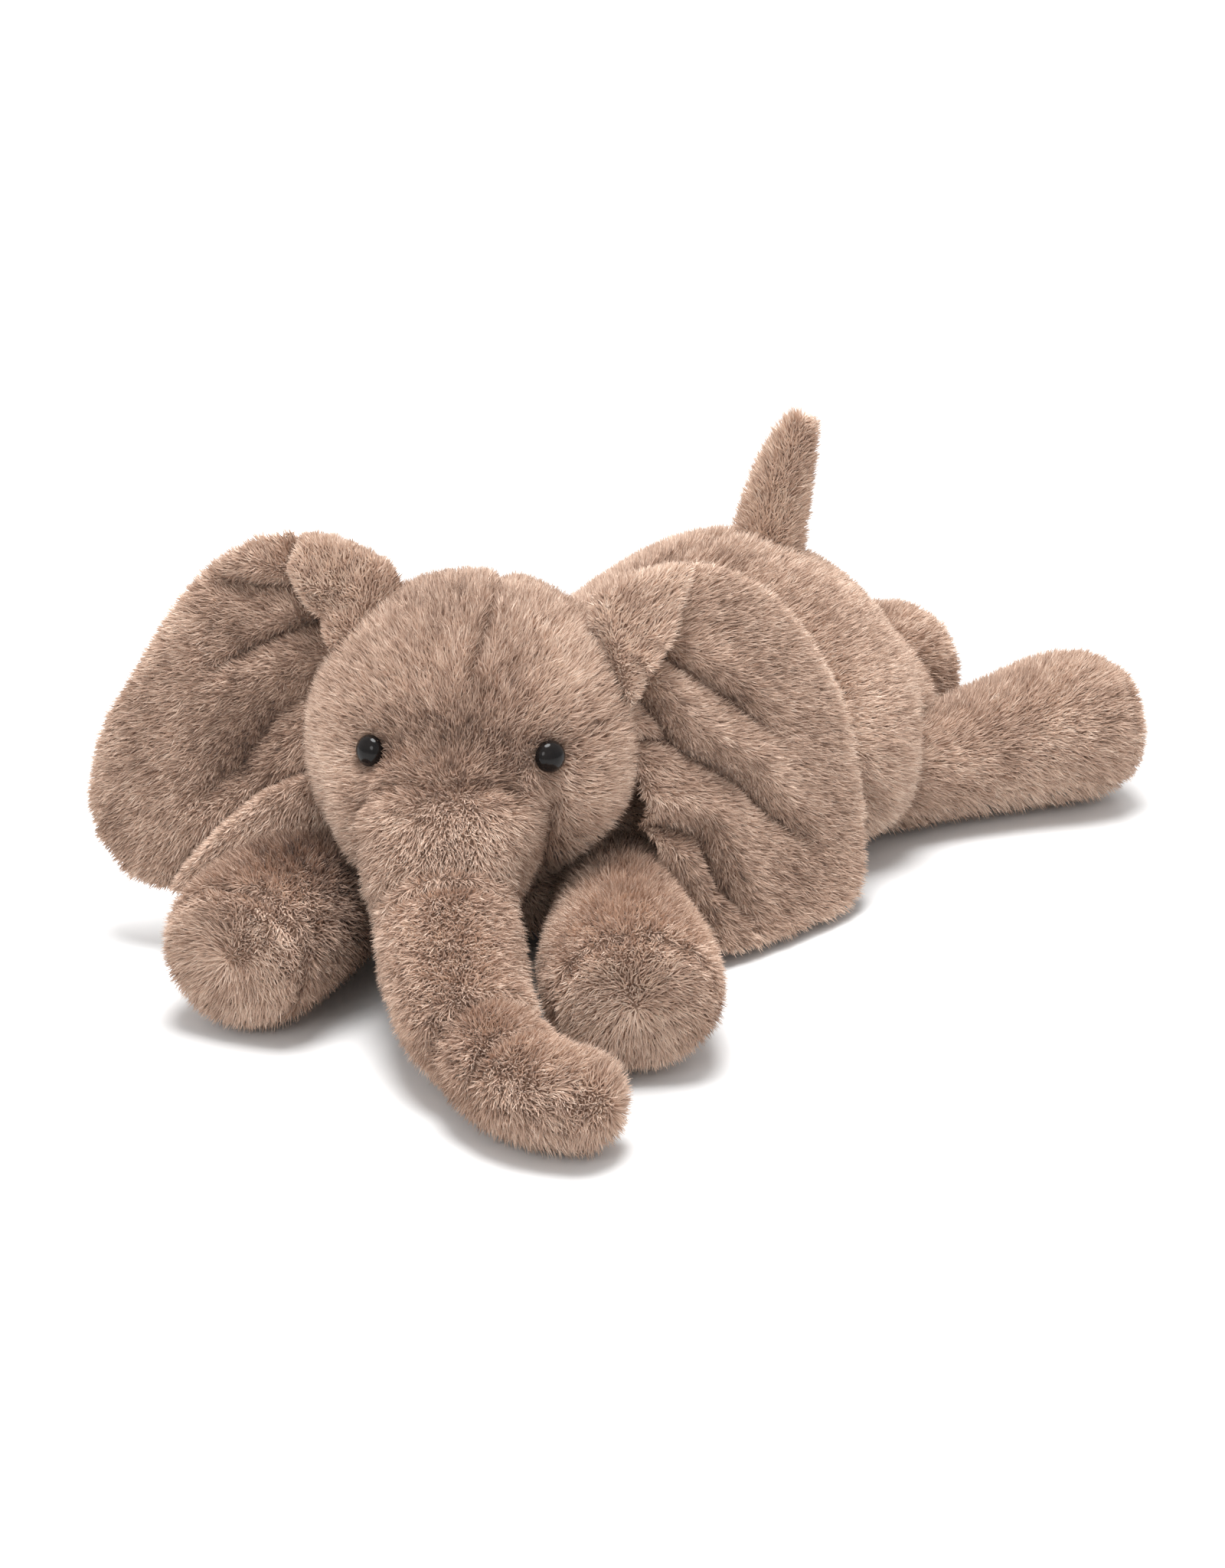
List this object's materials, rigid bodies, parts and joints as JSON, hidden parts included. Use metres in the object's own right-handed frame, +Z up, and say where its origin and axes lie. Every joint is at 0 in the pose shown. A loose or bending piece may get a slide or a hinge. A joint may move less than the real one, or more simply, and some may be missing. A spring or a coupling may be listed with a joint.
{
  "type": "stuffed toy elephant",
  "caption": "Soft plush elephant lying on its belly, with floppy ears, curled trunk and sewn limbs that flex at their roots.",
  "frame": {"origin": "on the floor, under the middle of the toy's footprint", "axes": "+Y towards the rump and hind feet, +Z up, +X to the toy's left"},
  "size_m": [0.2008, 0.3078, 0.1179],
  "materials": {
    "plush": "matte",
    "plush_pale": "matte",
    "stuffing": "matte",
    "bean_cloth": "matte",
    "eye": "gloss",
    "washer": "matte"
  },
  "bodies": {
    "torso": {"body_cover_left": "plush", "body_cover_right": "plush", "belly_gusset": "plush_pale", "body_stuffing": "stuffing", "belly_bean_bag": "bean_cloth", "neck_stuffing": "stuffing"},
    "head": {"head_cover_left": "plush", "head_cover_right": "plush", "chin_gusset": "plush_pale", "head_stuffing": "stuffing", "eye_left": "eye", "eye_right": "eye", "eye_washer_left": "washer", "eye_washer_right": "washer"},
    "trunk_upper": {"trunk_cover_upper": "plush", "trunk_stuffing_upper": "stuffing"},
    "trunk_tip": {"trunk_cover_tip": "plush", "trunk_stuffing_tip": "stuffing"},
    "ear_left": {"ear_front_left": "plush_pale", "ear_back_left": "plush"},
    "ear_right": {"ear_front_right": "plush_pale", "ear_back_right": "plush"},
    "front_leg_left": {"front_leg_left_cover": "plush", "front_leg_left_sole": "plush_pale", "front_leg_left_stuffing": "stuffing", "front_leg_left_bean_bag": "bean_cloth"},
    "front_leg_right": {"front_leg_right_cover": "plush", "front_leg_right_sole": "plush_pale", "front_leg_right_stuffing": "stuffing", "front_leg_right_bean_bag": "bean_cloth"},
    "hind_leg_left": {"hind_leg_left_cover": "plush", "hind_leg_left_sole": "plush_pale", "hind_leg_left_stuffing": "stuffing", "hind_leg_left_bean_bag": "bean_cloth"},
    "hind_leg_right": {"hind_leg_right_cover": "plush", "hind_leg_right_sole": "plush_pale", "hind_leg_right_stuffing": "stuffing", "hind_leg_right_bean_bag": "bean_cloth"},
    "tail": {"tail_cover": "plush", "tail_stuffing": "stuffing"}
  },
  "joints": [
    {"name": "head_nod", "type": "hinge", "parent": "torso", "child": "head", "pos_m": [-0.02337, -0.03485, 0.0588], "axis": [-0.8387, -0.5446, 0], "range_deg": [0, 18]},
    {"name": "trunk_lift", "type": "hinge", "parent": "head", "child": "trunk_upper", "pos_m": [0.01463, -0.09885, 0.0353], "axis": [-0.6919, -0.722, 0], "range_deg": [0, 28]},
    {"name": "trunk_curl", "type": "hinge", "parent": "trunk_upper", "child": "trunk_tip", "pos_m": [0.05363, -0.12985, 0.0163], "axis": [-0.4472, -0.8944, 0], "range_deg": [0, 35]},
    {"name": "ear_left_swing", "type": "hinge", "parent": "head", "child": "ear_left", "pos_m": [0.02636, -0.03683, 0.0608], "axis": [0.2672, -0.0364, -0.963], "range_deg": [0, 25], "stiffness_Nm_per_rad": 0.03},
    {"name": "ear_right_swing", "type": "hinge", "parent": "head", "child": "ear_right", "pos_m": [-0.03939, -0.07677, 0.0608], "axis": [0.0948, -0.2233, -0.9701], "range_deg": [0, 25], "stiffness_Nm_per_rad": 0.03},
    {"name": "front_leg_left_swing", "type": "hinge", "parent": "torso", "child": "front_leg_left", "pos_m": [0.01663, -0.03085, 0.0173], "axis": [0, 0, 1], "range_deg": [0, 10], "stiffness_Nm_per_rad": 0.05},
    {"name": "front_leg_right_swing", "type": "hinge", "parent": "torso", "child": "front_leg_right", "pos_m": [-0.03837, -0.04285, 0.0173], "axis": [0, 0, -1], "range_deg": [0, 10], "stiffness_Nm_per_rad": 0.05},
    {"name": "hind_leg_left_swing", "type": "hinge", "parent": "torso", "child": "hind_leg_left", "pos_m": [0.02763, 0.07515, 0.0178], "axis": [0, 0, -1], "range_deg": [0, 18], "stiffness_Nm_per_rad": 0.05},
    {"name": "hind_leg_right_swing", "type": "hinge", "parent": "torso", "child": "hind_leg_right", "pos_m": [-0.03337, 0.07715, 0.0178], "axis": [0, 0, 1], "range_deg": [0, 18], "stiffness_Nm_per_rad": 0.05},
    {"name": "tail_bend", "type": "hinge", "parent": "torso", "child": "tail", "pos_m": [-0.00737, 0.06915, 0.0798], "axis": [1, 0, 0], "range_deg": [-25, 25], "stiffness_Nm_per_rad": 0.02}
  ]
}
